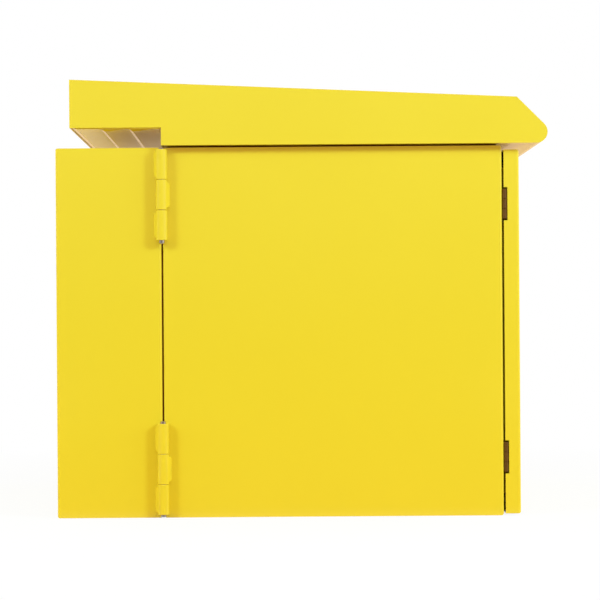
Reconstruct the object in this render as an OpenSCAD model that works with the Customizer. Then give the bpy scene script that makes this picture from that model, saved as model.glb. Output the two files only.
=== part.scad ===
// Wall-mount rack enclosure: a rear box on the wall, a centre section that swings out
// from it on two welded hinges, a front door, and a sloped rain hood on top.
// Millimetres. X runs to the right as seen from the front, Y runs towards the wall, Z is up.
// The origin is the centre of the rear box's back face, in the wall's plane.

/* [Cabinet] */
// Width over the side walls
cab_w = 610; // [560:1:760]
// Height of the rear box and of the centre section
cab_h = 457; // [450:1:700]
// Depth of the rear box
rear_d = 130.4; // [120:0.1:200]
// Gap between the rear box and the centre section
seam = 2; // [1.6:0.1:3]
// Depth of the centre section
body_d = 419.3; // [340:0.1:600]
// Thickness of the sheet
sheet = 1.6; // [1.2:0.1:2.4]
// Outside radius of a fold
fold_r = 3; // [2.6:0.1:5]
// Width of the lip round the front of the rear box
rear_lip = 25; // [20:0.5:27]
// Width of the flange round the back of the centre section
back_flange = 52; // [51:0.5:60]
// Width of the flange round the door opening
front_flange = 27; // [24:0.5:29]
// How far the rain lip stands in front of that flange
rain_lip = 10; // [6:0.5:12]

/* [Door] */
// Gap between the centre section and the door
door_gap = 2.3; // [1.8:0.1:3]
// Depth of the door pan
door_d = 19; // [18:0.5:26]
// Distance of the door's top edge below the body's top
door_inset_top = 5; // [4:0.1:8]
// Distance of the door's bottom edge above the body's bottom
door_inset_bottom = 2.2; // [1.6:0.1:6]
// How much narrower the door is than the body, on each side
door_inset_x = 1; // [0.8:0.1:1.5]
// Width of the foam strip that meets the rain lip
door_seal_w = 12; // [8:0.5:14]
// Gap between the foam strip and the rain lip
door_seal_gap = 0.3; // [0.1:0.1:1]
// Width of the stiffener's raised middle
stiffener_w = 40; // [30:1:60]
// Depth of the stiffener
stiffener_d = 8; // [6:0.5:8.5]
// Distance of each stiffener end from the door's edge
stiffener_end = 52; // [48:1:90]

/* [Rain hood] */
// Overhang of the hood beyond each side wall
hood_side = 12; // [8:0.5:20]
// Distance of the hood's rear face from the wall
hood_wall = 18.9; // [12:0.1:30]
// Height of the hood's rear top edge above the body
hood_back_h = 83.5; // [76:0.1:120]
// Fall of the top towards the front, degrees
hood_pitch = 2.55; // [1:0.05:4]
// Reach of the nose's centre in front of the door's face
nose_reach = 20.4; // [18:0.1:60]
// Outside radius of the rolled nose
nose_r = 13.7; // [8:0.1:16]
// Height of the hood's floor above the body, filled by the roof gasket
hood_seat = 2; // [1.8:0.1:4]
// Height of the rear overhang's lower edge above the body
soffit_h = 24; // [16:0.5:34]
// Height of the upturned edges of the soffit panel
soffit_edge = 14; // [12:0.5:20]
// Play round the soffit panel
soffit_play = 0.3; // [0.2:0.1:0.8]
// How far the soffit panel hangs below the hood's lower edge
soffit_drop = 1.5; // [0.5:0.1:2.5]
// Width of the slope along the soffit panel's rear edge
rear_slope_w = 6.5; // [5:0.1:9]
// Height of that slope
rear_slope_h = 2.2; // [1.6:0.1:2.6]
// Number of stiffening beads across the soffit panel
bead_count = 2; // [1:1:2]
// Distance of the first bead's rear slope from the hood's rear face
bead_first = 40.5; // [30:0.1:50]
// Distance between the beads
bead_pitch = 34.4; // [20:0.1:40]
// Width of a bead's steep rear slope
bead_w = 4; // [3.5:0.1:8]
// Width of its long front slope
bead_lead = 26; // [10:0.1:27]
// How far a bead stands out below the panel
bead_drop = 1.5; // [1:0.1:2.4]
// Distance of a bead's ends from the panel's sides
bead_end = 4; // [4:0.5:40]
// Length over which a bead runs out at each end
bead_run = 12; // [8:1:60]
// Width of the bearing flange round the hood's floor opening, on the body
floor_flange = 24; // [22:0.5:30]
// Number of roof screws along each side
roof_screw_count = 4; // [3:1:6]

/* [Main hinges] */
// Outside radius of a knuckle
knuckle_r = 7; // [5.5:0.1:8]
// Radius of the hinge pin
pin_r = 3.7; // [2.5:0.1:4]
// Radial play between pin and knuckle
pin_play = 0.05; // [0.02:0.01:0.1]
// Length of one knuckle
knuckle_len = 37; // [30:0.5:45]
// Gap between two knuckles
knuckle_gap = 0.5; // [0.4:0.1:1]
// How far the pin stands out at each end
pin_out = 3; // [1.4:0.1:3.2]
// Distance of the upper hinge from the top
hinge_top = 2.7; // [2.6:0.1:30]
// Distance of the lower hinge from the bottom
hinge_bottom = 4.4; // [3.4:0.1:30]
// Gap between the knuckles and the side wall
knuckle_stand = 0.4; // [0.3:0.1:1]
// Length of the welded tail from the pin
tail_len = 9.9; // [9:0.1:16]
// Thickness of the welded tail's tip
tail_t = 3.4; // [3:0.1:4]

/* [Door hinges] */
// Distance of a door hinge's centre from the top or the bottom of the body
door_hinge_in = 72; // [60:0.5:100]
// Length of a door hinge
door_hinge_len = 36.4; // [30:0.1:50]
// Radius of a door hinge knuckle
door_knuckle_r = 3; // [2.8:0.1:3.2]
// Radius of the door hinge pin
door_pin_r = 1.5; // [1.2:0.1:1.8]
// Distance of the hinge axis from the door's side
door_axis_in = 2.2; // [1.8:0.1:2.4]
// Length of the notch in the door beyond the hinge, at each end
notch_play = 2.3; // [1:0.1:4]
// Width of a hinge leaf
door_leaf_w = 21; // [16:0.5:21]

/* [Latches] */
// Distance of the door latches from the right side wall
latch_in = 56; // [55:0.5:60]
// Distance of the latches from the top and the bottom
latch_z_in = 98; // [94:1:130]
// Radius of the latch housing's flange
latch_flange_r = 15; // [13:0.5:17]
// Radius of the threaded latch barrel
latch_barrel_r = 11; // [10:0.5:11.5]
// Radius of the turning insert's head
insert_r = 8; // [7:0.1:8.5]
// Radius of a latch shaft
shaft_r = 5; // [4.6:0.1:5.4]
// Thickness of a cam
cam_t = 3; // [2.5:0.1:4]
// Half width of a cam
cam_r = 8; // [7.5:0.1:8.5]
// Reach of a cam beyond the edge that it catches
cam_catch = 14; // [10:0.5:16]
// Gap between a closed cam and the sheet behind which it catches
cam_gap = 1.8; // [1:0.1:2.4]
// Distance of the section latches from the right side wall
section_latch_in = 40; // [38.5:0.5:40.5]
// Radius of the section latch knob
knob_r = 13; // [11:0.5:15]

/* [Rack] */
// Distance of the rails' inner edges from the side walls, for the 19 inch spacing
rail_in = 79.4; // [72:0.1:90]
// Distance of the rack holes from a rail's inner edge
rack_hole_in = 6.95; // [6:0.05:8]
// Width of a rail's face
rail_w = 24; // [20:0.5:26]
// Distance of the front rails from the front of the centre section
rail_front = 45; // [30:1:70]
// Distance of the rear rails from the back of the centre section
rail_back = 70; // [60:1:90]
// Depth of a rail's side leg
rail_leg = 30; // [26:1:40]
// Height of a rail support channel
support_h = 36; // [32:1:44]
// Distance of a rail support's middle from the top or the bottom
support_in = 50; // [44:1:54]

/* [Wall fixing] */
// Distance of the wall bolts from the side walls
wall_bolt_in_x = 101.8; // [60:0.1:160]
// Distance of the wall bolts from the top and the bottom
wall_bolt_in_z = 50.7; // [40:0.1:70]
// Radius of a wall bolt hole
wall_hole_r = 5.5; // [4:0.1:6.5]
// Height of a mounting strap
strap_h = 44; // [36:1:50]
// Thickness of a mounting strap
strap_t = 3; // [2:0.5:5]
// Distance of a strap's ends from the side walls
strap_end = 30; // [10:1:60]
// Distance of the earth stud from the left side wall
stud_in_x = 62; // [40:1:90]
// Distance of the earth stud from the bottom
stud_in_z = 105; // [95:1:140]
// Distance of the knock-outs under the rear box from its side walls
knock_in = 175; // [60:1:200]
// Radius of a knock-out's inner ring
knock_in_r = 16; // [12:0.5:18]
// Radius of a knock-out's outer ring
knock_out_r = 25; // [22:0.5:30]

/* [Hidden] */
$fn = 64;
eps = 0.01;
cut = 1;

// Planes of the enclosure
half_w = cab_w / 2;
half_h = cab_h / 2;
rear_y = -rear_d;
seam_y = rear_y - seam / 2;
back_y = rear_y - seam;
front_y = back_y - body_d;
door_y = front_y - door_gap;
face_y = door_y - door_d;
door_w = cab_w - 2 * door_inset_x;
door_h = cab_h - door_inset_top - door_inset_bottom;
door_mid_z = (door_inset_bottom - door_inset_top) / 2;

// Wall fixing
wall_bolt_x = half_w - wall_bolt_in_x;
wall_bolt_z = half_h - wall_bolt_in_z;
knock_line = 0.8;
knock_deep = 0.6;

// Rain hood, as distances in front of the seam and above the body
hood_w = cab_w + 2 * hood_side;
hood_back = seam / 2 + rear_d - hood_wall;
nose_d = seam_y - face_y + nose_reach;
nose_bite = 0.02;
nose_h = hood_seat + nose_r - nose_bite;
hood_tan = tan(hood_pitch);
soffit_w = hood_w - 2 * sheet - 2 * soffit_play;
soffit_d = hood_back - sheet - 2 * soffit_play;
soffit_rear_y = seam_y + hood_back - sheet - soffit_play;
soffit_z = half_h + soffit_h - soffit_drop;
bead_wide = bead_w + bead_lead;
bead_lip = sheet * sqrt(1 + pow(bead_drop / bead_w, 2));
slope_lip = sheet * sqrt(1 + pow(rear_slope_h / rear_slope_w, 2));

screw_r = 2.5;
screw_in = 19;
screw_end = 42;
screw_hex_r = 4.6;
screw_hex_t = 3.5;
screw_over = 7;
weld_nut_t = 4;
screw_x = half_w - screw_in;
screw_front_y = front_y + screw_end;
screw_back_y = back_y - screw_end;
screw_step = (screw_front_y - screw_back_y) / (roof_screw_count - 1);

// Earth stud
stud_x = -half_w + stud_in_x;
stud_z = -half_h + stud_in_z;
stud_r = 4;
stud_len = 28;
stud_hex_r = 7.5;
stud_washer_r = 8.5;
stud_washer_t = 1.5;
stud_hex_t = 6;
stud_nut_step = 11;

// Main hinges
hinge_off = knuckle_r + knuckle_stand;
hinge_x = -half_w - hinge_off;
hinge_len = 3 * knuckle_len + 2 * knuckle_gap;
hinge_top_z = half_h - hinge_top - hinge_len;
hinge_bottom_z = -half_h + hinge_bottom;
knuckle_chamfer = 0.5;
upper_pin_drop = 1.2;
tail_in = 3;
tail_round = 3;
tail_bite = 0.02;
tail_foot = seam / 2 + fold_r;
tail_tip = [hinge_off - tail_t / 2, tail_len - tail_t / 2];
tail_turn = atan2(tail_tip[0], tail_tip[1]) + asin((knuckle_r - tail_t / 2) / norm(tail_tip));
tail_flank = [-cos(tail_turn), sin(tail_turn)];

// Door hinges
door_stand = 0.4;
door_axis_x = -half_w + door_inset_x + door_axis_in;
leaf_x = sheet - door_axis_in;
door_axis_y = front_y - door_knuckle_r - door_stand;
door_pin_play = 0.05;
door_knuckle_gap = 0.4;
door_knuckle_len = (door_hinge_len - 2 * door_knuckle_gap) / 3;
door_hinge_z = half_h - door_hinge_in;
leaf_start = door_knuckle_r + 0.5;
leaf_t = min(door_gap, 2);
notch_d = 2 * (door_knuckle_r + door_stand) - door_gap;

// Latches
latch_x = half_w - latch_in;
latch_z = half_h - latch_z_in;
section_latch_x = half_w - section_latch_in;
square_side = 1.4 * shaft_r - 0.05;
shaft_play = 0.05;
latch_flange_t = 3;
barrel_len = 17;
nut_t = 5;
nut_r = latch_barrel_r + 4.6;
head_len = 6;
cam_play = 0.1;
cam_round = 3;
cam_reach_door = latch_in - front_flange + cam_catch;
cam_reach_section = section_latch_in - rear_lip + cam_catch;
cam_door_y = front_y + sheet + cam_gap;
cam_section_y = rear_y + sheet + cam_gap;
cam_screw_r = 5.2;
cam_screw_t = 3.6;
bush_r = 7.6;
bush_flange_r = 11;
bush_flange_t = 2.5;
knob_len = 15;
knob_gap = 0.3;

// Rack rails, to the 19 inch spacing
rack_unit = 44.45;
rack_holes = [6.35, 22.225, 38.1];
rack_hole_r = 3.4;
rack_units = floor((cab_h - 2 * front_flange) / rack_unit);
rail_in_x = half_w - rail_in;
rack_hole_x = rail_in_x + rack_hole_in;
rail_end = 12;
rail_len = cab_h - 2 * sheet - 2 * rail_end;
rail_out_x = rail_in_x + rail_w;
rail_front_y = front_y + rail_front;
rail_back_y = back_y - rail_back;
support_z = half_h - support_in;
support_front_y = front_y + rail_front - 20;
support_back_y = back_y - rail_back + rail_leg + 14;
bolt_dz = 9;
bolt_r = 3;
slot_half = 12;
hex_r = 5.77;
hex_t = 4;
bolt_play = 0.3;

// Shapes that several pieces share

// A rectangle with true arcs at its corners
module rounded_rect(w, h, r) {
  square([w - 2 * r, h], center = true);
  square([w, h - 2 * r], center = true);
  for (sx = [-1, 1], sz = [-1, 1])
    translate([sx * (w / 2 - r), sz * (h / 2 - r)]) circle(r);
}

// A flat shape drawn in Y and Z, given a thickness along X about the middle
module along_x(w) {
  translate([-w / 2, 0, 0]) rotate([90, 0, 90]) linear_extrude(w) children();
}

// A flat shape drawn in X and Z, given a thickness along Y from the plane y
module along_y(y, t) {
  translate([0, y + t, 0]) rotate([90, 0, 0]) linear_extrude(t) children();
}

// A block with folded edges, from Y = 0 forwards
module folded_block(w, d, h, r) {
  intersection() {
    along_x(w) translate([-d / 2, 0]) rounded_rect(d, h, r);
    translate([0, 0, -h / 2]) linear_extrude(h)
      translate([0, -d / 2]) rounded_rect(w, d, r);
  }
}

// The same block as a hollow sheet box
module sheet_box(w, d, h) {
  difference() {
    folded_block(w, d, h, fold_r);
    translate([0, -sheet, 0])
      folded_block(w - 2 * sheet, d - 2 * sheet, h - 2 * sheet, fold_r - sheet);
  }
}

// A flat frame in X and Z, from the plane y forwards by t
module frame_strip(w, h, band, y, t) {
  along_y(y - t, t) difference() {
    square([w, h], center = true);
    square([w - 2 * band, h - 2 * band], center = true);
  }
}

// An upright round bar with chamfered ends
module chamfered_bar(r, len, ch) {
  rotate_extrude()
    polygon([[0, 0], [r - ch, 0], [r, ch], [r, len - ch], [r - ch, len], [0, len]]);
}

// A bar along Y from the plane y, towards the wall
module bar_y(r, y, len) {
  translate([0, y + len, 0]) rotate([90, 0, 0]) cylinder(r = r, h = len);
}

// Rear box

module wall_holes(y, t) {
  for (sx = [-1, 1], sz = [-1, 1])
    translate([sx * wall_bolt_x, 0, sz * wall_bolt_z])
      bar_y(wall_hole_r, y - cut, t + 2 * cut);
}

module rear_box() {
  color("gold") difference() {
    sheet_box(cab_w, rear_d, cab_h);
    along_y(rear_y - cut, sheet + 2 * cut)
      square([cab_w - 2 * rear_lip, cab_h - 2 * rear_lip], center = true);
    wall_holes(-sheet, sheet);
    for (sx = [-1, 1], r = [knock_in_r, knock_out_r])
      translate([sx * (half_w - knock_in), rear_y / 2, -half_h - cut]) difference() {
        cylinder(r = r + knock_line / 2, h = cut + knock_deep);
        cylinder(r = r - knock_line / 2, h = cut + knock_deep);
      }
  }
}

module rear_gasket() {
  color("black")
    frame_strip(cab_w - 8, cab_h - 8, rear_lip - 9, rear_y, seam - 0.2);
}

module mounting_strap(sz) {
  color("silver") difference() {
    translate([0, 0, sz * wall_bolt_z]) along_y(-sheet - strap_t, strap_t)
      rounded_rect(cab_w - 2 * strap_end, strap_h, 4);
    wall_holes(-sheet - strap_t, strap_t);
  }
}

module upper_mounting_strap() { mounting_strap(1); }
module lower_mounting_strap() { mounting_strap(-1); }

module earth_stud() {
  color("goldenrod") translate([stud_x, 0, stud_z])
    bar_y(stud_r, -sheet - stud_len, stud_len);
}

module earth_nuts() {
  color("goldenrod") translate([stud_x, 0, stud_z])
    for (y = [-sheet - stud_hex_t, -sheet - stud_hex_t - stud_nut_step]) difference() {
      union() {
        translate([0, y, 0]) rotate([90, 0, 0]) cylinder(r = stud_hex_r, h = stud_hex_t, $fn = 6);
        bar_y(stud_washer_r, y, stud_washer_t);
      }
      bar_y(stud_r + bolt_play, y - stud_hex_t - cut, stud_hex_t + stud_washer_t + 2 * cut);
    }
}

// Main hinges

// Section of a welded tail in X and Y: a flank from the knuckle to a round tip on the side wall
module tail_section() {
  polygon([
    [0, 0], (knuckle_r - tail_bite) * tail_flank, tail_tip + (tail_t / 2 - 2 * tail_bite) * tail_flank,
    tail_tip, [hinge_off, tail_tip[1]], [hinge_off, tail_foot]
  ]);
  translate(tail_tip) circle(tail_t / 2 - tail_bite);
}

// One knuckle, its bore, and its tail along the side wall, towards the wall or the front
module weld_knuckle(len, towards) {
  tail_h = len - 2 * tail_in;
  difference() {
    union() {
      chamfered_bar(knuckle_r, len, knuckle_chamfer);
      scale([1, towards, 1]) translate([0, 0, tail_in]) intersection() {
        translate([0, 0, -cut]) linear_extrude(tail_h + 2 * cut) tail_section();
        along_x(4 * knuckle_r) {
          square([tail_len - tail_round, tail_h]);
          translate([0, tail_round]) square([tail_len, tail_h - 2 * tail_round]);
          for (z = [tail_round, tail_h - tail_round])
            translate([tail_len - tail_round, z]) circle(tail_round);
        }
      }
    }
    translate([0, 0, -cut]) cylinder(r = pin_r + pin_play, h = len + 2 * cut);
  }
}

module outer_knuckles(z) {
  color("gold") translate([hinge_x, seam_y, z])
    for (up = [0, 2 * (knuckle_len + knuckle_gap)])
      translate([0, 0, up]) weld_knuckle(knuckle_len, 1);
}

module centre_knuckle(z) {
  color("gold") translate([hinge_x, seam_y, z + knuckle_len + knuckle_gap])
    weld_knuckle(knuckle_len, -1);
}

module hinge_pin(z, drop) {
  color("silver") translate([hinge_x, seam_y, z - pin_out - drop])
    chamfered_bar(pin_r, hinge_len + 2 * pin_out, 0.8);
}

module upper_hinge_outer_knuckles() { outer_knuckles(hinge_top_z); }
module lower_hinge_outer_knuckles() { outer_knuckles(hinge_bottom_z); }
module upper_hinge_centre_knuckle() { centre_knuckle(hinge_top_z); }
module lower_hinge_centre_knuckle() { centre_knuckle(hinge_bottom_z); }
module upper_hinge_pin() { hinge_pin(hinge_top_z, upper_pin_drop); }
module lower_hinge_pin() { hinge_pin(hinge_bottom_z, 0); }

// Centre section

module body_shell() {
  color("gold") difference() {
    union() {
      translate([0, back_y, 0]) sheet_box(cab_w, body_d, cab_h);
      along_y(front_y - rain_lip, rain_lip + sheet)
        square([cab_w - 2 * front_flange + 2 * sheet, cab_h - 2 * front_flange + 2 * sheet],
          center = true);
    }
    along_y(front_y - rain_lip - cut, rain_lip + sheet + 2 * cut)
      square([cab_w - 2 * front_flange, cab_h - 2 * front_flange], center = true);
    along_y(back_y - sheet - cut, sheet + 2 * cut)
      square([cab_w - 2 * back_flange, cab_h - 2 * back_flange], center = true);
    for (sz = [-1, 1]) translate([section_latch_x, 0, sz * latch_z])
      bar_y(bush_r, back_y - sheet - cut, sheet + 2 * cut);
    at_roof_screws() translate([0, 0, half_h - sheet - cut])
      cylinder(r = screw_r + bolt_play, h = sheet + 2 * cut);
  }
}

// Rain hood

// A point d in front of the seam and h above the body, in Y and Z
function at_seam(d, h) = [seam_y - d, half_h + h];

// Outline of the hood in Y and Z, inset by e, with the rear floor at rear_h
module hood_outline(e, rear_h) {
  r = nose_r - e;
  flat = (r - nose_bite) / sqrt(2);
  reach = nose_d + nose_h + 2 * flat;
  top_h = hood_back_h - e / cos(hood_pitch);
  corner_d = (reach - top_h + hood_back * hood_tan) / (1 - hood_tan);
  polygon([
    at_seam(e - hood_back, rear_h),
    at_seam(e - hood_back, top_h - e * hood_tan),
    at_seam(corner_d, reach - corner_d),
    at_seam(nose_d + flat, nose_h + flat),
    at_seam(nose_d, nose_h),
    at_seam(nose_d, hood_seat + e),
    at_seam(0, hood_seat + e),
    at_seam(0, rear_h)
  ]);
  translate(at_seam(nose_d, nose_h)) circle(r);
}

module at_roof_screws() {
  for (sx = [-1, 1], i = [0 : roof_screw_count - 1])
    translate([sx * screw_x, screw_back_y + screw_step * i, 0]) children();
}

module roof_hood() {
  upstand_h = soffit_h + soffit_edge;
  color("gold") difference() {
    along_x(hood_w) hood_outline(0, soffit_h);
    along_x(hood_w - 2 * sheet) difference() {
      hood_outline(sheet, soffit_h - cut);
      translate(at_seam(sheet, 0)) square([sheet, upstand_h]);
    }
    translate([-half_w + floor_flange, front_y + floor_flange, half_h + hood_seat - cut])
      cube([cab_w - 2 * floor_flange, body_d - 2 * floor_flange, sheet + 2 * cut]);
    at_roof_screws() translate([0, 0, half_h + hood_seat - cut])
      cylinder(r = screw_r + bolt_play, h = sheet + 2 * cut);
  }
}

// The beads, raised by up and filled to the plane top_z: two slopes that meet in a crest
// below the panel, running out at both ends
module soffit_beads(len, up, top_z) {
  crest_z = soffit_z - bead_drop + up;
  for (i = [0 : bead_count - 1]) {
    root_y = seam_y + hood_back - bead_first - i * bead_pitch + bead_w / 2;
    intersection() {
      along_x(len + 2 * cut) polygon([
        [root_y, top_z], [root_y, soffit_z + up], [root_y - bead_w, crest_z],
        [root_y - bead_wide, soffit_z + up], [root_y - bead_wide, top_z]
      ]);
      along_y(root_y - bead_wide - cut, bead_wide + 2 * cut) polygon([
        [-len / 2, top_z + cut], [-len / 2, soffit_z + up],
        [-len / 2 + bead_run, crest_z - eps], [len / 2 - bead_run, crest_z - eps],
        [len / 2, soffit_z + up], [len / 2, top_z + cut]
      ]);
    }
  }
}

// What the slope along the rear edge takes away, raised by up
module rear_slope(up) {
  along_x(2 * soffit_w) polygon([
    [soffit_rear_y - rear_slope_w, soffit_z - cut], [soffit_rear_y - rear_slope_w, soffit_z + up],
    [soffit_rear_y + cut, soffit_z + up + rear_slope_h * (1 + cut / rear_slope_w)],
    [soffit_rear_y + cut, soffit_z - cut]
  ]);
}

module soffit_panel() {
  bead_len = soffit_w - 2 * bead_end;
  color("gold") difference() {
    union() {
      difference() {
        translate([0, soffit_rear_y, soffit_z + soffit_edge])
          folded_block(soffit_w, soffit_d, 2 * soffit_edge, fold_r);
        rear_slope(0);
        difference() {
          translate([0, soffit_rear_y - sheet, soffit_z + soffit_edge])
            folded_block(soffit_w - 2 * sheet, soffit_d - 2 * sheet, 2 * (soffit_edge - sheet),
              fold_r - sheet);
          rear_slope(slope_lip);
        }
        translate([-soffit_w, soffit_rear_y - 2 * soffit_d, soffit_z + soffit_edge])
          cube([2 * soffit_w, 3 * soffit_d, 2 * soffit_edge]);
      }
      soffit_beads(bead_len, 0, soffit_z + sheet / 2);
    }
    soffit_beads(bead_len - 2 * sheet, bead_lip, soffit_z + sheet + cut);
  }
}

module roof_gasket() {
  edge_in = 5;
  band = 8;
  color("black") difference() {
    translate([-half_w + edge_in, front_y + edge_in, half_h])
      cube([cab_w - 2 * edge_in, body_d - 2 * edge_in, hood_seat]);
    translate([-half_w + edge_in + band, front_y + edge_in + band, half_h - cut])
      cube([cab_w - 2 * (edge_in + band), body_d - 2 * (edge_in + band), hood_seat + 2 * cut]);
  }
}

module roof_screws() {
  color("silver") at_roof_screws() {
    translate([0, 0, half_h - sheet - screw_hex_t]) cylinder(r = screw_hex_r, h = screw_hex_t, $fn = 6);
    translate([0, 0, half_h - sheet - eps]) cylinder(r = screw_r, h = 2 * sheet + hood_seat + screw_over);
  }
}

module roof_weld_nuts() {
  color("silver") at_roof_screws()
    translate([0, 0, half_h + hood_seat + sheet]) difference() {
      cylinder(r = screw_hex_r, h = weld_nut_t, $fn = 6);
      translate([0, 0, -cut]) cylinder(r = screw_r + pin_play, h = weld_nut_t + 2 * cut);
    }
}

// Rack rails and their supports

module at_rail_bolts(sides, ends, rows) {
  for (sx = sides, sz = rows, dz = [-bolt_dz, bolt_dz], y = ends)
    translate([sx * rail_out_x, y + rail_leg / 2, sz * support_z + dz])
      rotate([0, sx * 90, 0]) children();
}

module rail_support(sx, sz) {
  depth = half_w - sheet - rail_out_x;
  len = support_back_y - support_front_y;
  near_x = sx > 0 ? rail_out_x : -half_w + sheet;
  color("lightgray") difference() {
    translate([near_x, support_front_y, sz * support_z - support_h / 2]) difference() {
      cube([depth, len, support_h]);
      translate([sx > 0 ? sheet : -cut, -cut, sheet])
        cube([depth - sheet + cut, len + 2 * cut, support_h - 2 * sheet]);
    }
    at_rail_bolts([sx], [rail_front_y, rail_back_y], [sz]) {
      for (s = [-1, 1]) translate([0, s * slot_half, -cut])
        cylinder(r = bolt_r + bolt_play, h = sheet + 2 * cut);
      translate([-bolt_r - bolt_play, -slot_half, -cut])
        cube([2 * (bolt_r + bolt_play), 2 * slot_half, sheet + 2 * cut]);
    }
  }
}

module upper_left_rail_support() { rail_support(-1, 1); }
module lower_left_rail_support() { rail_support(-1, -1); }
module upper_right_rail_support() { rail_support(1, 1); }
module lower_right_rail_support() { rail_support(1, -1); }

module rack_rail(sx, y) {
  color("lightgray") difference() {
    union() {
      translate([sx > 0 ? rail_in_x : -rail_out_x, y, -rail_len / 2])
        cube([rail_w, sheet, rail_len]);
      translate([sx > 0 ? rail_out_x - sheet : -rail_out_x, y, -rail_len / 2])
        cube([sheet, rail_leg, rail_len]);
    }
    for (u = [0 : rack_units - 1], h = rack_holes)
      translate([sx * rack_hole_x, 0, (u - rack_units / 2) * rack_unit + h])
        bar_y(rack_hole_r, y - cut, sheet + 2 * cut);
    at_rail_bolts([sx], [y], [-1, 1]) translate([0, 0, -sheet - cut])
      cylinder(r = bolt_r + bolt_play, h = sheet + 2 * cut);
  }
}

module front_left_rack_rail() { rack_rail(-1, rail_front_y); }
module front_right_rack_rail() { rack_rail(1, rail_front_y); }
module rear_left_rack_rail() { rack_rail(-1, rail_back_y); }
module rear_right_rack_rail() { rack_rail(1, rail_back_y); }

module rail_bolts() {
  color("silver") at_rail_bolts([-1, 1], [rail_front_y, rail_back_y], [-1, 1]) {
    translate([0, 0, -sheet - hex_t]) cylinder(r = hex_r, h = hex_t, $fn = 6);
    translate([0, 0, -sheet - eps]) cylinder(r = bolt_r, h = 2 * sheet + hex_t + 5);
  }
}

module rail_nuts() {
  color("silver") at_rail_bolts([-1, 1], [rail_front_y, rail_back_y], [-1, 1])
    translate([0, 0, sheet]) difference() {
      union() {
        cylinder(r = bolt_r + 3.4, h = 1.4);
        cylinder(r = hex_r, h = hex_t + 1.4, $fn = 6);
      }
      translate([0, 0, -cut]) cylinder(r = bolt_r + pin_play, h = hex_t + 4);
    }
}

// Door

module at_door_hinge(sz) {
  translate([door_axis_x, door_axis_y, sz * door_hinge_z - door_hinge_len / 2]) children();
}

module door_panel() {
  fold_back = 2 * fold_r;
  color("gold") difference() {
    translate([0, door_y + fold_back, door_mid_z])
      folded_block(door_w, door_d + fold_back, door_h, fold_r);
    translate([0, door_y + fold_back, door_mid_z])
      folded_block(door_w - 2 * sheet, door_d + fold_back - sheet, door_h - 2 * sheet, fold_r - sheet);
    translate([-door_w, door_y, -door_h]) cube([2 * door_w, 2 * fold_back, 2 * door_h]);
    for (sz = [-1, 1]) {
      translate([-half_w - cut, door_y - notch_d, sz * door_hinge_z - door_hinge_len / 2 - notch_play])
        cube([door_inset_x + sheet + 2 * cut, notch_d + cut, door_hinge_len + 2 * notch_play]);
      translate([latch_x, 0, sz * latch_z])
        bar_y(latch_barrel_r + bolt_play, face_y - cut, sheet + 2 * cut);
    }
  }
}

module door_gasket() {
  seal_out_w = cab_w - 2 * front_flange + sheet + door_seal_w;
  seal_out_h = cab_h - 2 * front_flange + sheet + door_seal_w;
  seal_t = door_d - sheet + door_gap - rain_lip - door_seal_gap;
  color("black")
    frame_strip(seal_out_w, seal_out_h, door_seal_w, face_y + sheet + seal_t, seal_t);
}

module door_stiffener() {
  len = door_h - 2 * stiffener_end;
  foot = 12;
  base_y = face_y + sheet;
  color("gold") translate([0, 0, door_mid_z - len / 2]) linear_extrude(len) difference() {
    union() {
      translate([-stiffener_w / 2, base_y]) square([stiffener_w, stiffener_d]);
      translate([-stiffener_w / 2 - foot, base_y]) square([stiffener_w + 2 * foot, sheet]);
    }
    translate([-stiffener_w / 2 + sheet, base_y - cut])
      square([stiffener_w - 2 * sheet, stiffener_d - sheet + cut]);
  }
}

// Door hinges

module door_knuckle(z) {
  translate([0, 0, z]) chamfered_bar(door_knuckle_r, door_knuckle_len, 0.3);
}

module door_pin_bore() {
  translate([0, 0, -cut]) cylinder(r = door_pin_r + door_pin_play, h = door_hinge_len + 2 * cut);
}

module frame_leaf(sz) {
  step = door_knuckle_len + door_knuckle_gap;
  plate_y = door_knuckle_r + door_stand - leaf_t;
  color("dimgray") at_door_hinge(sz) difference() {
    union() {
      for (z = [0, 2 * step]) {
        door_knuckle(z);
        translate([0, plate_y, z]) cube([leaf_start + eps, leaf_t, door_knuckle_len]);
      }
      translate([leaf_start, plate_y, 0]) cube([door_leaf_w - leaf_start, leaf_t, door_hinge_len]);
    }
    door_pin_bore();
  }
}

module door_leaf(sz) {
  step = door_knuckle_len + door_knuckle_gap;
  leaf_end = door_axis_y - face_y - fold_r;
  color("dimgray") at_door_hinge(sz) difference() {
    union() {
      door_knuckle(step);
      translate([leaf_x, -leaf_start - eps, step]) cube([leaf_t, leaf_start + eps, door_knuckle_len]);
      translate([leaf_x, -leaf_end, 0]) cube([leaf_t, leaf_end - leaf_start, door_hinge_len]);
    }
    door_pin_bore();
  }
}

module door_pin(sz) {
  color("silver") at_door_hinge(sz) translate([0, 0, -0.6])
    chamfered_bar(door_pin_r, door_hinge_len + 1.2, 0.3);
}

module upper_door_hinge_frame_leaf() { frame_leaf(1); }
module lower_door_hinge_frame_leaf() { frame_leaf(-1); }
module upper_door_hinge_door_leaf() { door_leaf(1); }
module lower_door_hinge_door_leaf() { door_leaf(-1); }
module upper_door_hinge_pin() { door_pin(1); }
module lower_door_hinge_pin() { door_pin(-1); }

// Latches

// A cam plate hanging from its square hole, from the plane y towards the wall
module cam_plate(reach, y) {
  along_y(y, cam_t) difference() {
    union() {
      circle(cam_r);
      translate([-cam_r, cam_round - reach]) square([2 * cam_r, reach - cam_round]);
      translate([cam_round - cam_r, -reach]) square([2 * (cam_r - cam_round), reach]);
      for (sx = [-1, 1]) translate([sx * (cam_r - cam_round), cam_round - reach]) circle(cam_round);
    }
    square(square_side + 2 * cam_play, center = true);
  }
}

// A square shaft end from the plane y towards the wall
module square_bar(y, len) {
  along_y(y, len) square(square_side, center = true);
}

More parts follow.
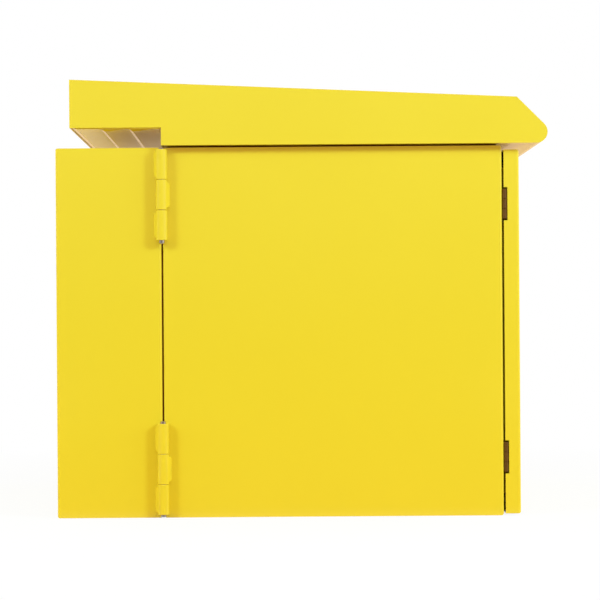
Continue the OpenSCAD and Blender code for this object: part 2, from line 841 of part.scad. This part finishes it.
// The screw that holds a cam on the shaft's end
module cam_screw(y) {
  translate([0, y + cam_t + 1.2 + cam_screw_t, 0]) rotate([90, 0, 0])
    cylinder(r = cam_screw_r, h = cam_screw_t, $fn = 6);
  bar_y(7, y + cam_t, 1.2);
}

module door_latch_housing(sz) {
  color("silver") translate([latch_x, 0, sz * latch_z]) difference() {
    union() {
      translate([0, face_y, 0]) rotate([90, 0, 0]) rotate_extrude() polygon([
        [0, 0], [latch_flange_r, 0], [latch_flange_r, latch_flange_t - 1],
        [latch_flange_r - 1, latch_flange_t], [0, latch_flange_t]
      ]);
      bar_y(latch_barrel_r, face_y - eps, barrel_len);
    }
    bar_y(insert_r + 0.15, face_y - latch_flange_t - cut, head_len + cut);
    bar_y(shaft_r + shaft_play, face_y - cut, barrel_len + 2 * cut);
  }
}

module door_latch_nut(sz) {
  color("silver") translate([latch_x, face_y + sheet + nut_t, sz * latch_z]) rotate([90, 0, 0])
    difference() {
      cylinder(r = nut_r, h = nut_t, $fn = 6);
      translate([0, 0, -cut]) cylinder(r = latch_barrel_r + pin_play, h = nut_t + 2 * cut);
    }
}

module door_latch_insert(sz) {
  head_y = face_y - latch_flange_t + 0.4;
  square_y = face_y + barrel_len + 0.6;
  color("silver") translate([latch_x, 0, sz * latch_z]) difference() {
    union() {
      bar_y(insert_r, head_y, head_len - 0.8);
      bar_y(shaft_r, head_y + 1, square_y - head_y - 1);
      square_bar(square_y - 1, cam_door_y + cam_t - square_y + 1);
    }
    translate([-1.4, head_y - cut, -insert_r + 1.6]) cube([2.8, 2.2 + cut, 2 * insert_r - 3.2]);
  }
}

module door_latch_cam(sz) {
  color("silver") translate([latch_x, 0, sz * latch_z]) cam_plate(cam_reach_door, cam_door_y);
}

module door_latch_screw(sz) {
  color("silver") translate([latch_x, 0, sz * latch_z]) cam_screw(cam_door_y);
}

module upper_door_latch_housing() { door_latch_housing(1); }
module lower_door_latch_housing() { door_latch_housing(-1); }
module upper_door_latch_nut() { door_latch_nut(1); }
module lower_door_latch_nut() { door_latch_nut(-1); }
module upper_door_latch_insert() { door_latch_insert(1); }
module lower_door_latch_insert() { door_latch_insert(-1); }
module upper_door_latch_cam() { door_latch_cam(1); }
module lower_door_latch_cam() { door_latch_cam(-1); }
module upper_door_latch_screw() { door_latch_screw(1); }
module lower_door_latch_screw() { door_latch_screw(-1); }

module section_latch_bush(sz) {
  flange_y = back_y - sheet - bush_flange_t;
  color("black") translate([section_latch_x, 0, sz * latch_z]) difference() {
    union() {
      bar_y(bush_flange_r, flange_y, bush_flange_t);
      bar_y(bush_r - shaft_play, flange_y + 1, bush_flange_t + sheet - 1);
    }
    bar_y(shaft_r + shaft_play, flange_y - cut, bush_flange_t + sheet + 2 * cut);
  }
}

module section_latch_knob(sz) {
  knob_y = back_y - sheet - bush_flange_t - knob_gap - knob_len;
  square_y = back_y + 0.4;
  color("black") translate([section_latch_x, 0, sz * latch_z]) difference() {
    union() {
      translate([0, knob_y + knob_len, 0]) rotate([90, 0, 0]) rotate_extrude() polygon([
        [0, 0], [8.5, 0], [8.5, 4], [knob_r, 6],
        [knob_r, knob_len - 1.5], [knob_r - 1.5, knob_len], [0, knob_len]
      ]);
      bar_y(shaft_r, knob_y + 2, square_y - knob_y - 2);
      square_bar(square_y - 1, cam_section_y + cam_t - square_y + 1);
    }
    for (a = [0 : 45 : 315])
      translate([(knob_r + 2.6) * cos(a), 0, (knob_r + 2.6) * sin(a)])
        bar_y(4, knob_y - cut, knob_len + 2 * cut);
  }
}

module section_latch_cam(sz) {
  color("silver") translate([section_latch_x, 0, sz * latch_z]) cam_plate(cam_reach_section, cam_section_y);
}

module section_latch_screw(sz) {
  color("silver") translate([section_latch_x, 0, sz * latch_z]) cam_screw(cam_section_y);
}

module upper_section_latch_bush() { section_latch_bush(1); }
module lower_section_latch_bush() { section_latch_bush(-1); }
module upper_section_latch_knob() { section_latch_knob(1); }
module lower_section_latch_knob() { section_latch_knob(-1); }
module upper_section_latch_cam() { section_latch_cam(1); }
module lower_section_latch_cam() { section_latch_cam(-1); }
module upper_section_latch_screw() { section_latch_screw(1); }
module lower_section_latch_screw() { section_latch_screw(-1); }

rear_box();
rear_gasket();
upper_mounting_strap();
lower_mounting_strap();
upper_hinge_outer_knuckles();
lower_hinge_outer_knuckles();
upper_hinge_pin();
lower_hinge_pin();
earth_stud();
earth_nuts();
body_shell();
upper_hinge_centre_knuckle();
lower_hinge_centre_knuckle();
roof_hood();
soffit_panel();
roof_gasket();
roof_screws();
roof_weld_nuts();
upper_left_rail_support();
lower_left_rail_support();
upper_right_rail_support();
lower_right_rail_support();
front_left_rack_rail();
front_right_rack_rail();
rear_left_rack_rail();
rear_right_rack_rail();
rail_bolts();
rail_nuts();
upper_door_hinge_frame_leaf();
lower_door_hinge_frame_leaf();
upper_door_hinge_pin();
lower_door_hinge_pin();
upper_section_latch_bush();
lower_section_latch_bush();
door_panel();
door_gasket();
door_stiffener();
upper_door_hinge_door_leaf();
lower_door_hinge_door_leaf();
upper_door_latch_housing();
lower_door_latch_housing();
upper_door_latch_nut();
lower_door_latch_nut();
upper_door_latch_insert();
lower_door_latch_insert();
upper_door_latch_cam();
lower_door_latch_cam();
upper_door_latch_screw();
lower_door_latch_screw();
upper_section_latch_knob();
lower_section_latch_knob();
upper_section_latch_cam();
lower_section_latch_cam();
upper_section_latch_screw();
lower_section_latch_screw();
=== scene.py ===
import math

import bmesh
import bpy
import numpy as np
from mathutils import Matrix, Vector


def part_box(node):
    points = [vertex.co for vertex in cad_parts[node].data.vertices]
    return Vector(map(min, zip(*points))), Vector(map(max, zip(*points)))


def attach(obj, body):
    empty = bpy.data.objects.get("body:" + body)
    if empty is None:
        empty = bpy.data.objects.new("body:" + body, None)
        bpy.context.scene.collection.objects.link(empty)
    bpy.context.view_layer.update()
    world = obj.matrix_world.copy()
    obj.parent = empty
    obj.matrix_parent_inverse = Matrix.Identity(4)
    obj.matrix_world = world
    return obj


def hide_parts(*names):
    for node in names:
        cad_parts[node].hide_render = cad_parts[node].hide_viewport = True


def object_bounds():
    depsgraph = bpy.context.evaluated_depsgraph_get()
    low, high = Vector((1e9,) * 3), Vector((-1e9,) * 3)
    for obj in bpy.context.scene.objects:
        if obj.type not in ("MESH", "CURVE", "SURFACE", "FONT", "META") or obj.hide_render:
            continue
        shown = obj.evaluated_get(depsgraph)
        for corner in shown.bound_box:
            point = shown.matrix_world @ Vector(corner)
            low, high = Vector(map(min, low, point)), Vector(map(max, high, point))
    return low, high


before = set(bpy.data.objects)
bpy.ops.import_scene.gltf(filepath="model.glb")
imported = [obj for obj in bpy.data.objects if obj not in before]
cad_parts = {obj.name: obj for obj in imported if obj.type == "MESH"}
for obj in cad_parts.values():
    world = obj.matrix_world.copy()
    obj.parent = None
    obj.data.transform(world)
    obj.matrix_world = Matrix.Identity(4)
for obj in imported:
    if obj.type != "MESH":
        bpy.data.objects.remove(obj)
cad_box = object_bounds()

# Rear box. A pan folded from 1.6 mm steel sheet, with a lip turned in round its open front.
# It is bolted to the wall, and everything else hangs on it. Powder coat is sprayed on dry and
# baked, which leaves a smooth, even, semi-gloss skin with a faint orange peel.
mm = 0.001  # Blender works in metres


def linear(hexa):
    """A colour written as sRGB hex, in linear light and opaque.
    A channel c is c / 12.92 up to 0.04045, and above that ((c + 0.055) / 1.055) ** 2.4."""
    c = np.array([int(hexa[i : i + 2], 16) for i in (1, 3, 5)]) / 255
    return (*np.where(c <= 0.04045, c / 12.92, ((c + 0.055) / 1.055) ** 2.4), 1.0)


def add(tree, kind, inputs=None, **settings):
    """One shader node with its settings. Each input is a value, or the socket that feeds it."""
    made = tree.nodes.new("ShaderNode" + kind)
    for key, value in settings.items():
        setattr(made, key, value)
    for key, value in (inputs or {}).items():
        if isinstance(value, bpy.types.NodeSocket):
            tree.links.new(value, made.inputs[key])
        else:
            made.inputs[key].default_value = value
    return made


def finish_named(name):
    """An empty node material for one real finish, its node tree, and the object's coordinates."""
    finish = bpy.data.materials.new(name)
    finish.use_nodes = True
    finish.node_tree.nodes.clear()
    place = add(finish.node_tree, "TexCoord").outputs["Object"]
    return finish, finish.node_tree, place


def coat(finish, *names):
    """The finish covers these solids."""
    for name in names:
        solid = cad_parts[name]
        solid.data.materials.clear()
        solid.data.materials.append(finish)


# Semi-gloss polyester powder coat: the film is 0.08 mm thick, and its orange peel, 2 to 3 mm
# across, only softens reflections. The shade and gloss drift a little over a panel.
colour_a, colour_b, mixed = 6, 7, 2  # a Mix node's colour inputs, and its colour output
noise_low, noise_high = 0.3, 0.7  # a noise texture seldom leaves this range
drift_width, peel_width = 160 * mm, 2.6 * mm
powder, tree, place = finish_named("yellow_powder_coat")
drift = add(tree, "TexNoise", {"Vector": place, "Scale": 1 / drift_width, "Detail": 1.0})
tint = add(tree, "Mix", {
    "Factor": drift.outputs["Fac"],
    colour_a: linear("#F3DB37"), colour_b: linear("#F1D834"),
}, data_type="RGBA")
gloss = add(tree, "MapRange", {
    "Value": drift.outputs["Fac"], "From Min": noise_low, "From Max": noise_high,
    "To Min": 0.11, "To Max": 0.14,
})
peel = add(tree, "TexNoise", {"Vector": place, "Scale": 1 / peel_width, "Detail": 1.0})
skin = add(tree, "Bump", {
    "Height": peel.outputs["Fac"], "Strength": 0.10, "Distance": 0.06 * mm,
})
shader = add(tree, "BsdfPrincipled", {
    "Base Color": tint.outputs[mixed], "Roughness": gloss.outputs["Result"],
    "Normal": skin.outputs["Normal"], "IOR": 1.5,
})
add(tree, "OutputMaterial", {"Surface": shader.outputs["BSDF"]})

coat(powder, "rear_box")

# Mounting straps, earth stud and nuts. Two flat steel bars welded inside the back sheet spread
# the wall bolts' load, and a turned brass stud with its nuts takes the earth wires.

# Bright zinc plate: a thin electroplated layer over cold-rolled steel, bluish, with faint clouds
# where the passivation dried, between satin and bright. Its grain is drawn coarse enough to show.
cloud_width, grain_width = 14 * mm, 0.9 * mm
zinc, tree, place = finish_named("bright_zinc_plate")
cloud = add(tree, "TexNoise", {
    "Vector": place, "Scale": 1 / cloud_width, "Detail": 4.0, "Roughness": 0.6,
})
tint = add(tree, "Mix", {
    "Factor": cloud.outputs["Fac"],
    colour_a: linear("#B9BDC2"), colour_b: linear("#CDCFD0"),
}, data_type="RGBA")
gloss = add(tree, "MapRange", {
    "Value": cloud.outputs["Fac"], "From Min": noise_low, "From Max": noise_high,
    "To Min": 0.26, "To Max": 0.42,
})
grain = add(tree, "TexNoise", {"Vector": place, "Scale": 1 / grain_width, "Detail": 2.0})
skin = add(tree, "Bump", {
    "Height": grain.outputs["Fac"], "Strength": 0.12, "Distance": 0.03 * mm,
})
shader = add(tree, "BsdfPrincipled", {
    "Base Color": tint.outputs[mixed], "Metallic": 1.0, "Roughness": gloss.outputs["Result"],
    "Normal": skin.outputs["Normal"],
})
add(tree, "OutputMaterial", {"Surface": shader.outputs["BSDF"]})

coat(zinc, "upper_mounting_strap", "lower_mounting_strap")

# Turned brass: warm yellow metal that dulls to brown in patches.
dull_width = 6 * mm
brass, tree, place = finish_named("turned_brass")
dull = add(tree, "TexNoise", {"Vector": place, "Scale": 1 / dull_width, "Detail": 3.0})
tint = add(tree, "Mix", {
    "Factor": dull.outputs["Fac"],
    colour_a: linear("#C9A250"), colour_b: linear("#A57F38"),
}, data_type="RGBA")
gloss = add(tree, "MapRange", {"Value": dull.outputs["Fac"], "To Min": 0.22, "To Max": 0.45})
shader = add(tree, "BsdfPrincipled", {
    "Base Color": tint.outputs[mixed], "Metallic": 1.0, "Roughness": gloss.outputs["Result"],
})
add(tree, "OutputMaterial", {"Surface": shader.outputs["BSDF"]})

coat(brass, "earth_stud", "earth_nuts")

# Main hinges. Three turned steel knuckles on a loose pin, each with a short tail that is welded
# to its side wall before painting. The pin goes in bare, after the paint.
coat(powder, "upper_hinge_outer_knuckles", "lower_hinge_outer_knuckles")
coat(powder, "upper_hinge_centre_knuckle", "lower_hinge_centre_knuckle")

# Bare drawn steel: pale grey and bright, with faint uneven rings round it where it was turned,
# drawn wider than a lathe leaves them so that they show.
ring_spacing = 2.37 * mm
wave_length = 2 * math.pi / 20  # of a Wave texture at a scale of 1
drawn, tree, place = finish_named("bare_drawn_steel")
rings = add(tree, "TexWave", {
    "Vector": place, "Scale": wave_length / ring_spacing, "Distortion": 1.5, "Detail": 2.0,
}, bands_direction="Z")
tint = add(tree, "Mix", {
    "Factor": rings.outputs["Fac"],
    colour_a: linear("#BDB4A8"), colour_b: linear("#D2C9BC"),
}, data_type="RGBA")
shader = add(tree, "BsdfPrincipled", {
    "Base Color": tint.outputs[mixed], "Metallic": 1.0, "Roughness": 0.2,
})
add(tree, "OutputMaterial", {"Surface": shader.outputs["BSDF"]})

coat(drawn, "upper_hinge_pin", "lower_hinge_pin")

# Seals. Closed-cell foam rubber strip, cut from sheet and stuck down: one between the rear box
# and the centre section, one under the hood, and a thick one in the door that the rain lip dents.

# Closed-cell foam rubber: matt, with open pores where it was cut. Its dark red-brown is painted
# shade, the colour of the deep shade in the seams, given to the foam.
pore_width = 1.1 * mm
foam, tree, place = finish_named("foam_rubber_painted_seam_shade")
pores = add(tree, "TexVoronoi", {"Vector": place, "Scale": 1 / pore_width, "Randomness": 1.0})
# Painted shade: two dark red-browns taken from the seams' shade, varied by the pores.
tint = add(tree, "Mix", {
    "Factor": pores.outputs["Distance"],
    colour_a: linear("#5A2A16"), colour_b: linear("#7A3A1E"),
}, data_type="RGBA")
skin = add(tree, "Bump", {
    "Height": pores.outputs["Distance"], "Strength": 0.5, "Distance": 0.3 * mm,
})
shader = add(tree, "BsdfPrincipled", {
    "Base Color": tint.outputs[mixed], "Roughness": 0.85, "Normal": skin.outputs["Normal"],
    "Specular IOR Level": 0.3,
})
add(tree, "OutputMaterial", {"Surface": shader.outputs["BSDF"]})


def seal_ring(name, half_a, half_b, corner, band, thick, dent, place_on):
    """A closed strip of foam: a section carried round a rectangle with rounded corners.
    Round the path, a point is a corner's centre plus (corner radius + across) along a direction
    that turns through 90 degrees at each corner. The section is a superellipse of power 5, band
    wide and thick high, whose top sinks by a bell curve where a lip presses. place_on turns
    (a, b, height) into the row frame."""
    corner_steps, section_steps = 9, 40
    bluntness = 2 / 5  # a superellipse of power 5 raises cosine and sine to 2 / 5
    bell_width = 1.6 * mm
    quarters = [np.linspace(k, k + 1, corner_steps) * math.pi / 2 for k in range(4)]
    turn = np.concatenate(quarters)[:, None]
    quarter = np.repeat(np.arange(4), corner_steps)[:, None]
    centre_a = (half_a - corner) * np.where((quarter == 0) | (quarter == 3), 1, -1)
    centre_b = (half_b - corner) * np.where(quarter < 2, 1, -1)
    t = np.linspace(0, 2 * math.pi, section_steps, endpoint=False)[None, :]
    across = band / 2 * np.sign(np.cos(t)) * np.abs(np.cos(t)) ** bluntness
    up = thick / 2 * (1 + np.sign(np.sin(t)) * np.abs(np.sin(t)) ** bluntness)
    up = up - dent * np.exp(-((across / bell_width) ** 2)) * (np.sin(t) > 0)
    a = centre_a + (corner + across) * np.cos(turn)
    b = centre_b + (corner + across) * np.sin(turn)
    points = place_on(a, b, np.broadcast_to(up, a.shape)).reshape(-1, 3)
    here = np.arange(len(points)).reshape(a.shape)
    ahead = np.roll(here, -1, axis=0)
    loop = [here, ahead, np.roll(ahead, -1, axis=1), np.roll(here, -1, axis=1)]
    quads = np.stack(loop, -1).reshape(-1, 4)
    mesh = bpy.data.meshes.new(name)
    mesh.from_pydata(points.tolist(), [], quads.tolist())
    shell = bmesh.new()
    shell.from_mesh(mesh)
    bmesh.ops.recalc_face_normals(shell, faces=shell.faces)
    shell.to_mesh(mesh)
    shell.free()
    mesh.polygons.foreach_set("use_smooth", np.ones(len(mesh.polygons), bool))
    mesh.materials.append(foam)
    strip = bpy.data.objects.new(name, mesh)
    bpy.context.scene.collection.objects.link(strip)
    return strip


low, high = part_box("rear_gasket")
rear_band, rear_corner = 16 * mm, 10 * mm
rear_seal = seal_ring(
    "rear_seal", (high[0] - low[0] - rear_band) / 2, (high[2] - low[2] - rear_band) / 2,
    rear_corner, rear_band, high[1] - low[1], 0.0,
    lambda a, b, up: np.stack([a, high[1] - up, b], -1),
)
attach(rear_seal, "rear_section")
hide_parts("rear_gasket")

low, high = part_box("roof_gasket")
roof_band, roof_corner = 8 * mm, 8 * mm
roof_middle = (low[1] + high[1]) / 2
roof_seal = seal_ring(
    "roof_seal", (high[0] - low[0] - roof_band) / 2, (high[1] - low[1] - roof_band) / 2,
    roof_corner, roof_band, high[2] - low[2], 0.0,
    lambda a, b, up: np.stack([a, roof_middle + b, low[2] + up], -1),
)
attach(roof_seal, "centre_section")
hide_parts("roof_gasket")

low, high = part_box("door_gasket")
door_band, door_corner, lip_dent = 12 * mm, 8 * mm, 0.8 * mm
door_seal = seal_ring(
    "door_seal", (high[0] - low[0] - door_band) / 2, (high[2] - low[2] - door_band) / 2,
    door_corner, door_band, high[1] - low[1], lip_dent,
    lambda a, b, up: np.stack([a, low[1] + up, b], -1),
)
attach(door_seal, "front_door")
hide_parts("door_gasket")

# Centre section. A wrapper folded into a tube, with flanges front and back and a rain lip round
# the door opening. Four channels on its side walls carry zinc-plated rack rails on bolts.
coat(powder, "body_shell")
for side in ("left", "right"):
    coat(zinc, f"upper_{side}_rail_support", f"lower_{side}_rail_support")
    coat(zinc, f"front_{side}_rack_rail", f"rear_{side}_rack_rail")
coat(zinc, "rail_bolts", "rail_nuts")

# Rain hood. Folded and welded sheet with a sloped top, a 45 degree front and a rolled nose, and
# under its rear overhang a soffit panel with two pressed beads. Screws hold it down from inside.
coat(powder, "roof_hood", "soffit_panel")
coat(zinc, "roof_screws", "roof_weld_nuts")

# Door hinges. Small steel butt hinges let into notches in the door's edge: one leaf sits on the
# centre section's flange and one inside the door, round a pin.

# Black oxide on steel: a thin conversion coat, a little patchy, with the low sheen of its oil and
# no bright metal in it. Its brown-black is partly painted shade: the hinges are coloured as dark
# and brown as the shade deep in their notches.
patch_width = 5 * mm
oxide_and_notch_shade, tree, place = finish_named("oxide_steel_painted_notch_shade")
patch = add(tree, "TexNoise", {
    "Vector": place, "Scale": 1 / patch_width, "Detail": 4.0, "Roughness": 0.65,
})
# Painted shade: two browns as dark as the shade in the hinge notches, mixed in patches.
tint = add(tree, "Mix", {
    "Factor": patch.outputs["Fac"],
    colour_a: linear("#583810"), colour_b: linear("#704A12"),
}, data_type="RGBA")
gloss = add(tree, "MapRange", {
    "Value": patch.outputs["Fac"], "From Min": noise_low, "From Max": noise_high,
    "To Min": 0.34, "To Max": 0.52,
})
shader = add(tree, "BsdfPrincipled", {
    "Base Color": tint.outputs[mixed], "Roughness": gloss.outputs["Result"],
})
add(tree, "OutputMaterial", {"Surface": shader.outputs["BSDF"]})

for level in ("upper", "lower"):
    for part in ("frame_leaf", "door_leaf", "pin"):
        coat(oxide_and_notch_shade, f"{level}_door_hinge_{part}")

# Door. A shallow pan folded from the same sheet as the boxes, with notches for its hinges and a
# hat-section stiffener welded inside it. The two are painted together.
coat(powder, "door_panel", "door_stiffener")

# Latches. Quarter-turn cams: the door's have zinc die-cast housings with slotted inserts, and the
# two that hold the centre section shut are turned by nylon knobs inside it.
for level in ("upper", "lower"):
    for part in ("housing", "nut", "insert", "cam", "screw"):
        coat(zinc, f"{level}_door_latch_{part}")
    for part in ("cam", "screw"):
        coat(zinc, f"{level}_section_latch_{part}")

# Moulded nylon 6: black, matt from a spark-eroded mould, with an even grain, drawn coarser than
# the mould's so that it shows.
grain_width = 0.7 * mm
nylon, tree, place = finish_named("moulded_black_nylon")
grain = add(tree, "TexNoise", {"Vector": place, "Scale": 1 / grain_width, "Detail": 2.0})
tint = add(tree, "Mix", {
    "Factor": grain.outputs["Fac"],
    colour_a: linear("#1B1B1C"), colour_b: linear("#262627"),
}, data_type="RGBA")
skin = add(tree, "Bump", {
    "Height": grain.outputs["Fac"], "Strength": 0.25, "Distance": 0.08 * mm,
})
shader = add(tree, "BsdfPrincipled", {
    "Base Color": tint.outputs[mixed], "Roughness": 0.5, "Normal": skin.outputs["Normal"],
    "IOR": 1.53,
})
add(tree, "OutputMaterial", {"Surface": shader.outputs["BSDF"]})

coat(nylon, "upper_section_latch_knob", "lower_section_latch_knob")
coat(nylon, "upper_section_latch_bush", "lower_section_latch_bush")

# Studio. The enclosure stands on white paper in a white room. Five soft lights are on the
# camera's side: one above it, and a softbox and a wider panel to each side of it.
floor_z = cad_box[0][2]
reach = 6.0
corners = ((-reach, -reach), (reach, -reach), (reach, reach), (-reach, reach))
sheet = bpy.data.meshes.new("floor")
sheet.from_pydata([(x, y, floor_z) for x, y in corners], [], [(0, 1, 2, 3)])
floor = bpy.data.objects.new("floor", sheet)
bpy.context.scene.collection.objects.link(floor)

# White paper: the camera sees it burnt out to white, but for a faint shadow near the enclosure.
# Gloss mirrors it dim in front of the left side, white elsewhere and peach far away. What it
# throws on matt surfaces is warm on the camera's side, and neutral past it. Ranges are in metres.
fleck_width = 250 * mm
foot_y = -0.30  # the footprint's middle
paper, tree, place = finish_named("white_paper_floor")
ray = add(tree, "LightPath")
glossy = ray.outputs["Is Glossy Ray"]
spot = add(tree, "SeparateXYZ", {"Vector": place})
away = add(tree, "VectorMath", {0: place, 1: (0.0, foot_y, floor_z)}, operation="DISTANCE")

fleck = add(tree, "TexNoise", {"Vector": place, "Scale": 1 / fleck_width, "Detail": 2.0})
white = add(tree, "Mix", {
    "Factor": fleck.outputs["Fac"],
    colour_a: linear("#F4F4F4"), colour_b: linear("#F7F7F7"),
}, data_type="RGBA")
spread = add(tree, "MapRange", {"Value": away.outputs["Value"], "From Min": 0.5, "From Max": 1.1})
warm = add(tree, "Mix", {
    "Factor": spread.outputs["Result"],
    colour_a: linear("#DFB650"), colour_b: linear("#AD9750"),
}, data_type="RGBA")
past = add(tree, "MapRange", {"Value": spot.outputs["X"], "From Min": -0.3, "From Max": 0.1})
bounce = add(tree, "Mix", {
    "Factor": past.outputs["Result"],
    colour_a: warm.outputs[mixed], colour_b: linear("#CBCBC4"),
}, data_type="RGBA")
tint = add(tree, "Mix", {
    "Factor": ray.outputs["Is Diffuse Ray"],
    colour_a: white.outputs[mixed], colour_b: bounce.outputs[mixed],
}, data_type="RGBA")
matt = add(tree, "BsdfDiffuse", {"Color": tint.outputs[mixed]})

under = add(tree, "MapRange", {
    "Value": spot.outputs["X"], "From Min": -0.42, "From Max": -0.25,
    "To Min": 0.05, "To Max": 1.0,
})
sideways = add(tree, "Math", {0: spot.outputs["Y"], 1: foot_y}, operation="SUBTRACT")
sideways = add(tree, "Math", {0: sideways.outputs[0]}, operation="ABSOLUTE")
aside = add(tree, "MapRange", {"Value": sideways.outputs[0], "From Min": 0.45, "From Max": 0.9})
mirrored = add(tree, "Math", {
    0: under.outputs["Result"], 1: aside.outputs["Result"],
}, operation="MAXIMUM")
strength = add(tree, "MapRange", {
    "Value": glossy, "To Min": 1.0, "To Max": mirrored.outputs[0],
})
far = add(tree, "MapRange", {"Value": away.outputs["Value"], "From Min": 0.6, "From Max": 1.6})
far = add(tree, "Math", {0: far.outputs["Result"], 1: glossy}, operation="MULTIPLY")
tint = add(tree, "Mix", {
    "Factor": far.outputs[0], colour_a: linear("#FFFFFF"), colour_b: linear("#EDC8A2"),
}, data_type="RGBA")
glow = add(tree, "Emission", {
    "Color": tint.outputs[mixed], "Strength": strength.outputs["Result"],
})

burn = add(tree, "MapRange", {
    "Value": away.outputs["Value"], "From Min": 0.45, "From Max": 1.2,
    "To Min": 0.9, "To Max": 1.0,
})
burn = add(tree, "Math", {0: burn.outputs["Result"], 1: glossy}, operation="MAXIMUM")
seen = add(tree, "Math", {0: ray.outputs["Is Camera Ray"], 1: glossy}, operation="MAXIMUM")
seen = add(tree, "Math", {
    0: seen.outputs[0], 1: ray.outputs["Is Transmission Ray"],
}, operation="MAXIMUM")
share = add(tree, "Math", {0: seen.outputs[0], 1: burn.outputs[0]}, operation="MULTIPLY")
both = add(tree, "MixShader", {
    "Fac": share.outputs[0], 1: matt.outputs["BSDF"], 2: glow.outputs["Emission"],
})
add(tree, "OutputMaterial", {"Surface": both.outputs["Shader"]})
sheet.materials.append(paper)

# The room: the camera sees it white. It lights matt surfaces brightly from behind the enclosure,
# most of all level with it, and dimly and warmly from the camera's side. Gloss mirrors a pale
# wall behind, grey overhead and at both sides, and nothing level with the camera. These are
# levels of light, not finishes, and some are above 1, so they are written as linear light.
camera_side = (0.50, 0.31, 0.05, 1)
back_wall, back_strip = (0.88, 0.92, 0.95, 1), (3.3, 2.8, 2.2, 1)
mirrored_wall, mirrored_strip = (1.0, 0.95, 0.88, 1), (1.05, 0.78, 0.50, 1)
world = bpy.data.worlds.new("white_studio")
bpy.context.scene.world = world
world.use_nodes = True
tree = world.node_tree
tree.nodes.clear()
ray = add(tree, "LightPath")
towards = add(tree, "SeparateXYZ", {"Vector": add(tree, "TexCoord").outputs["Object"]})
behind = add(tree, "MapRange", {
    "Value": towards.outputs["X"], "From Min": -0.15, "From Max": 0.35,
})
slant = add(tree, "Math", {0: towards.outputs["Z"]}, operation="ABSOLUTE")
strip = add(tree, "MapRange", {
    "Value": slant.outputs[0], "From Min": 0.08, "From Max": 0.22, "To Min": 1.0, "To Max": 0.0,
})

backdrop = add(tree, "Mix", {
    "Factor": strip.outputs["Result"], colour_a: back_wall, colour_b: back_strip,
}, data_type="RGBA")
thrown = add(tree, "Mix", {
    "Factor": behind.outputs["Result"], colour_a: camera_side, colour_b: backdrop.outputs[mixed],
}, data_type="RGBA")

overhead = add(tree, "MapRange", {
    "Value": towards.outputs["Z"], "From Min": -0.02, "From Max": 0.13,
    "To Min": 0.0, "To Max": 0.65,
})
sideways = add(tree, "Math", {0: towards.outputs["Y"]}, operation="ABSOLUTE")
aside = add(tree, "MapRange", {"Value": sideways.outputs[0], "From Min": 0.3, "From Max": 0.8})
panel = add(tree, "MapRange", {
    "Value": towards.outputs["Y"], "From Min": -0.1, "From Max": 0.1,
    "To Min": 0.65, "To Max": 0.25,
})
panel = add(tree, "Math", {
    0: aside.outputs["Result"], 1: panel.outputs["Result"],
}, operation="MULTIPLY")
grey = add(tree, "Math", {0: overhead.outputs["Result"], 1: panel.outputs[0]}, operation="ADD")
far_wall = add(tree, "Mix", {
    "Factor": strip.outputs["Result"], colour_a: mirrored_wall, colour_b: mirrored_strip,
}, data_type="RGBA")
mirrored = add(tree, "Mix", {
    "Factor": behind.outputs["Result"],
    colour_a: grey.outputs[0], colour_b: far_wall.outputs[mixed],
}, data_type="RGBA")

indirect = add(tree, "Mix", {
    "Factor": ray.outputs["Is Glossy Ray"],
    colour_a: thrown.outputs[mixed], colour_b: mirrored.outputs[mixed],
}, data_type="RGBA")
direct = add(tree, "Math", {
    0: ray.outputs["Is Camera Ray"], 1: ray.outputs["Is Transmission Ray"],
}, operation="MAXIMUM")
tint = add(tree, "Mix", {
    "Factor": direct.outputs[0],
    colour_a: indirect.outputs[mixed], colour_b: linear("#FFFFFF"),
}, data_type="RGBA")
room = add(tree, "Background", {"Color": tint.outputs[mixed], "Strength": 1.0})
add(tree, "OutputWorld", {"Surface": room.outputs["Background"]})

# Soft lights, cool as daylight, all aimed at the left side: degrees round from the camera towards
# the wall, degrees up, metres away, width in metres, and watts. Gloss doesn't mirror them.
side_x = -0.305
aim = Vector((side_x, -0.34, 0.03))
daylight = (0.73, 1.01, 1.2)
for name, azimuth, elevation, distance, width, watts in (
    ("top_softbox", 0, 45, 3.0, 1.2, 12.0),
    ("wall_side_softbox", 51, 26, 3.6, 0.7, 44.0),
    ("door_side_softbox", -51, 26, 3.6, 0.7, 60.0),
    ("wall_side_panel", 75, 15, 3.0, 1.5, 15.0),
    ("door_side_panel", -75, 15, 3.0, 1.5, 22.0),
):
    turn, lift = math.radians(azimuth), math.radians(elevation)
    level = math.cos(lift)
    out = Vector((-level * math.cos(turn), level * math.sin(turn), math.sin(lift)))
    lamp = bpy.data.lights.new(name, "AREA")
    lamp.size = width
    lamp.energy = watts
    lamp.color = daylight
    stand = bpy.data.objects.new(name, lamp)
    stand.location = aim + distance * out
    stand.rotation_euler = (-out).to_track_quat("-Z", "Y").to_euler()
    stand.visible_glossy = False
    bpy.context.scene.collection.objects.link(stand)

# Camera. It faces the left side squarely from 2.5 m, with the front to the right. It is turned by
# 0.4 degrees about its axis, and its lens is shifted a little, as in the photograph.
image_px, shift_px, px_size = 600, (27.5, 22.3), 1.2355 * mm
sensor_width = 36.0
distance = 2.5
eye = Vector((side_x - distance, -0.2671, 0.0119))
roll = math.radians(0.4)
lens = bpy.data.cameras.new("side_view")
lens.sensor_width = sensor_width
lens.lens = sensor_width * distance / (image_px * px_size)
lens.shift_x, lens.shift_y = (px / image_px for px in shift_px)
camera = bpy.data.objects.new("side_view", lens)
camera.matrix_world = Matrix((
    (0, 0, -1, eye.x),
    (-math.cos(roll), -math.sin(roll), 0, eye.y),
    (-math.sin(roll), math.cos(roll), 0, eye.z),
    (0, 0, 0, 1),
))
bpy.context.scene.collection.objects.link(camera)
bpy.context.scene.camera = camera
bpy.context.scene.view_settings.view_transform = "Standard"
